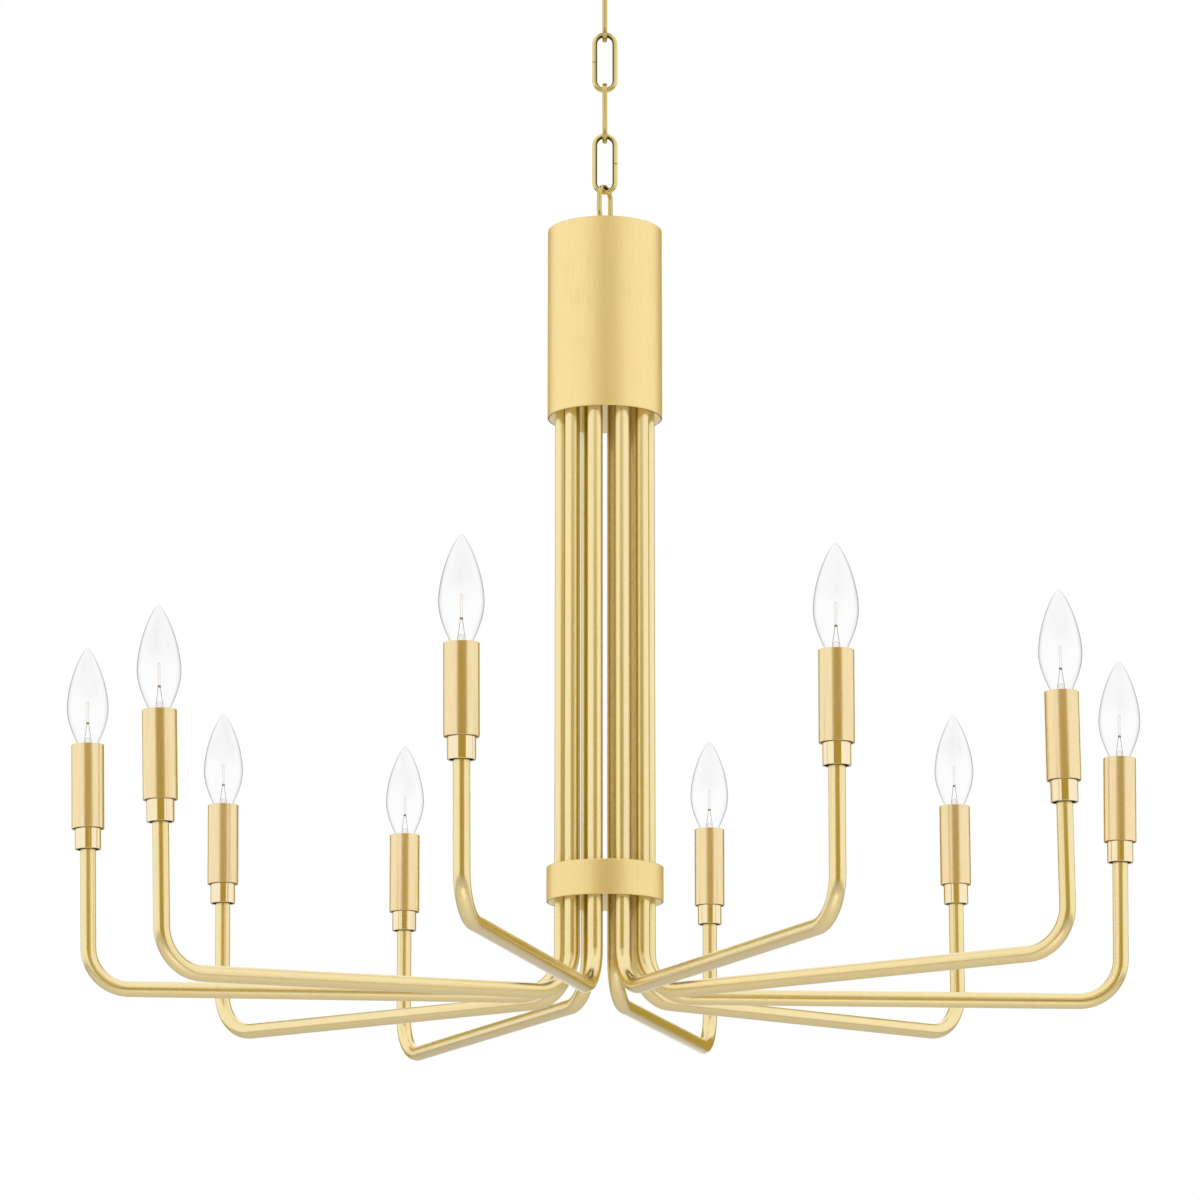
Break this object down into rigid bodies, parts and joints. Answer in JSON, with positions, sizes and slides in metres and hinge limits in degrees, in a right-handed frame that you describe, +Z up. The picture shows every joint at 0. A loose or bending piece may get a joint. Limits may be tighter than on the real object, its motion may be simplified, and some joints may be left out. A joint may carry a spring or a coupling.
{
  "type": "multi arm chandelier",
  "caption": "Ring of upturned candle arms with clear bulbs, bent outwards from a bundle of straight tubes that hangs from a cylindrical housing on a short chain.",
  "frame": {"origin": "midway between the ceiling box's two screws, in the plane of the ceiling", "axes": "+Z up into the ceiling, -Y towards the front, +X to the right as seen from the front; the object hangs below the origin"},
  "size_m": [0.9323, 0.9049, 1.0062],
  "materials": {
    "satin_brass": "satin",
    "sleeve_brass": "brushed",
    "raw_brass": "plain",
    "zinc_steel": "zinc plated",
    "ground_green": "painted",
    "socket_body": "matt",
    "lead_white": "smooth",
    "clear_glass": "clear"
  },
  "bodies": {
    "ceiling": {"crossbar": "zinc_steel", "crossbar_nipple": "raw_brass", "nipple_locknuts": "zinc_steel", "ground_screw": "ground_green", "canopy_loop": "satin_brass"},
    "collar": {"collar_ring": "satin_brass"},
    "canopy": {"canopy": "satin_brass"},
    "link_1": {"chain_link_1": "satin_brass"},
    "link_2": {"chain_link_2": "satin_brass"},
    "link_3": {"chain_link_3": "satin_brass"},
    "link_4": {"chain_link_4": "satin_brass"},
    "column": {"column_loop": "satin_brass", "column_nipple": "raw_brass", "column_fasteners": "zinc_steel", "column_bracket": "zinc_steel", "column_housing": "satin_brass", "tube_plate": "zinc_steel", "tube_locknuts": "raw_brass", "lower_ring": "satin_brass", "housing_leads": "lead_white"},
    "arm_1": {"arm_1": "satin_brass", "candle_sleeve_1": "sleeve_brass", "socket_1": "socket_body"},
    "arm_2": {"arm_2": "satin_brass", "candle_sleeve_2": "sleeve_brass", "socket_2": "socket_body"},
    "arm_3": {"arm_3": "satin_brass", "candle_sleeve_3": "sleeve_brass", "socket_3": "socket_body"},
    "arm_4": {"arm_4": "satin_brass", "candle_sleeve_4": "sleeve_brass", "socket_4": "socket_body"},
    "arm_5": {"arm_5": "satin_brass", "candle_sleeve_5": "sleeve_brass", "socket_5": "socket_body"},
    "arm_6": {"arm_6": "satin_brass", "candle_sleeve_6": "sleeve_brass", "socket_6": "socket_body"},
    "arm_7": {"arm_7": "satin_brass", "candle_sleeve_7": "sleeve_brass", "socket_7": "socket_body"},
    "arm_8": {"arm_8": "satin_brass", "candle_sleeve_8": "sleeve_brass", "socket_8": "socket_body"},
    "arm_9": {"arm_9": "satin_brass", "candle_sleeve_9": "sleeve_brass", "socket_9": "socket_body"},
    "arm_10": {"arm_10": "satin_brass", "candle_sleeve_10": "sleeve_brass", "socket_10": "socket_body"},
    "bulb_1": {"bulb_1": "clear_glass"},
    "bulb_2": {"bulb_2": "clear_glass"},
    "bulb_3": {"bulb_3": "clear_glass"},
    "bulb_4": {"bulb_4": "clear_glass"},
    "bulb_5": {"bulb_5": "clear_glass"},
    "bulb_6": {"bulb_6": "clear_glass"},
    "bulb_7": {"bulb_7": "clear_glass"},
    "bulb_8": {"bulb_8": "clear_glass"},
    "bulb_9": {"bulb_9": "clear_glass"},
    "bulb_10": {"bulb_10": "clear_glass"}
  },
  "joints": [
    {"name": "collar_unscrew", "type": "slide", "parent": "ceiling", "child": "collar", "axis": [0, 0, -1], "range_m": [0, 0.009]},
    {"name": "canopy_drop", "type": "slide", "parent": "ceiling", "child": "canopy", "axis": [0, 0, -1], "range_m": [0, 0.009]},
    {"name": "link_1_swing", "type": "hinge", "parent": "ceiling", "child": "link_1", "pos_m": [0, 0, -0.0673], "axis": [1, 0, 0], "range_deg": [-18, 18]},
    {"name": "link_2_swing", "type": "hinge", "parent": "link_1", "child": "link_2", "pos_m": [0, 0, -0.1147], "axis": [0, 1, 0], "range_deg": [-18, 18]},
    {"name": "link_3_swing", "type": "hinge", "parent": "link_2", "child": "link_3", "pos_m": [0, 0, -0.1621], "axis": [1, 0, 0], "range_deg": [-18, 18]},
    {"name": "link_4_swing", "type": "hinge", "parent": "link_3", "child": "link_4", "pos_m": [0, 0, -0.2095], "axis": [0, 1, 0], "range_deg": [-18, 18]},
    {"name": "column_swing", "type": "hinge", "parent": "link_4", "child": "column", "pos_m": [0, 0, -0.2569], "axis": [1, 0, 0], "range_deg": [-18, 18]},
    {"name": "arm_1_swivel", "type": "hinge", "parent": "column", "child": "arm_1", "pos_m": [-0.00864, -0.03598, -0.9746], "axis": [0, 0, 1], "range_deg": [-20, 20]},
    {"name": "arm_2_swivel", "type": "hinge", "parent": "column", "child": "arm_2", "pos_m": [0.01416, -0.03418, -0.9746], "axis": [0, 0, 1], "range_deg": [-20, 20]},
    {"name": "arm_3_swivel", "type": "hinge", "parent": "column", "child": "arm_3", "pos_m": [0.03155, -0.01933, -0.9746], "axis": [0, 0, 1], "range_deg": [-20, 20]},
    {"name": "arm_4_swivel", "type": "hinge", "parent": "column", "child": "arm_4", "pos_m": [0.03689, 0.0029, -0.9746], "axis": [0, 0, 1], "range_deg": [-20, 20]},
    {"name": "arm_5_swivel", "type": "hinge", "parent": "column", "child": "arm_5", "pos_m": [0.02814, 0.02403, -0.9746], "axis": [0, 0, 1], "range_deg": [-20, 20]},
    {"name": "arm_6_swivel", "type": "hinge", "parent": "column", "child": "arm_6", "pos_m": [0.00864, 0.03598, -0.9746], "axis": [0, 0, 1], "range_deg": [-20, 20]},
    {"name": "arm_7_swivel", "type": "hinge", "parent": "column", "child": "arm_7", "pos_m": [-0.01416, 0.03418, -0.9746], "axis": [0, 0, 1], "range_deg": [-20, 20]},
    {"name": "arm_8_swivel", "type": "hinge", "parent": "column", "child": "arm_8", "pos_m": [-0.03155, 0.01933, -0.9746], "axis": [0, 0, 1], "range_deg": [-20, 20]},
    {"name": "arm_9_swivel", "type": "hinge", "parent": "column", "child": "arm_9", "pos_m": [-0.03689, -0.0029, -0.9746], "axis": [0, 0, 1], "range_deg": [-20, 20]},
    {"name": "arm_10_swivel", "type": "hinge", "parent": "column", "child": "arm_10", "pos_m": [-0.02814, -0.02403, -0.9746], "axis": [0, 0, 1], "range_deg": [-20, 20]},
    {"name": "bulb_1_unscrew", "type": "hinge", "parent": "arm_1", "child": "bulb_1", "pos_m": [-0.11168, -0.43442, -0.75559], "axis": [-0.0066, -0.0253, 0.9997], "range_deg": [0, 900]},
    {"name": "bulb_2_unscrew", "type": "hinge", "parent": "arm_2", "child": "bulb_2", "pos_m": [0.18005, -0.40677, -0.75552], "axis": [0.0035, -0.008, 1], "range_deg": [0, 900]},
    {"name": "bulb_3_unscrew", "type": "hinge", "parent": "arm_3", "child": "bulb_3", "pos_m": [0.3724, -0.23648, -0.75552], "axis": [-0.0074, 0.0047, 1], "range_deg": [0, 900]},
    {"name": "bulb_4_unscrew", "type": "hinge", "parent": "arm_4", "child": "bulb_4", "pos_m": [0.44652, 0.01005, -0.76618], "axis": [0.0174, 0.0003, 0.9998], "range_deg": [0, 900]},
    {"name": "bulb_5_unscrew", "type": "hinge", "parent": "arm_5", "child": "bulb_5", "pos_m": [0.32506, 0.30092, -0.75906], "axis": [0, 0, 1], "range_deg": [0, 900]},
    {"name": "bulb_6_unscrew", "type": "hinge", "parent": "arm_6", "child": "bulb_6", "pos_m": [0.10038, 0.43338, -0.75906], "axis": [0.002, 0.0085, 1], "range_deg": [0, 900]},
    {"name": "bulb_7_unscrew", "type": "hinge", "parent": "arm_7", "child": "bulb_7", "pos_m": [-0.18974, 0.4023, -0.7697], "axis": [-0.0038, 0.0079, 1], "range_deg": [0, 900]},
    {"name": "bulb_8_unscrew", "type": "hinge", "parent": "arm_8", "child": "bulb_8", "pos_m": [-0.35218, 0.27438, -0.76263], "axis": [-0.0137, 0.0109, 0.9998], "range_deg": [0, 900]},
    {"name": "bulb_9_unscrew", "type": "hinge", "parent": "arm_9", "child": "bulb_9", "pos_m": [-0.44837, 0.00428, -0.75559], "axis": [-0.0262, 0.0005, 0.9997], "range_deg": [0, 900]},
    {"name": "bulb_10_unscrew", "type": "hinge", "parent": "arm_10", "child": "bulb_10", "pos_m": [-0.36045, -0.26993, -0.77691], "axis": [-0.0281, -0.0208, 0.9994], "range_deg": [0, 900]}
  ],
  "couplings": [
    {"joint": "canopy_drop", "follows": "collar_unscrew", "ratio": 1}
  ]
}
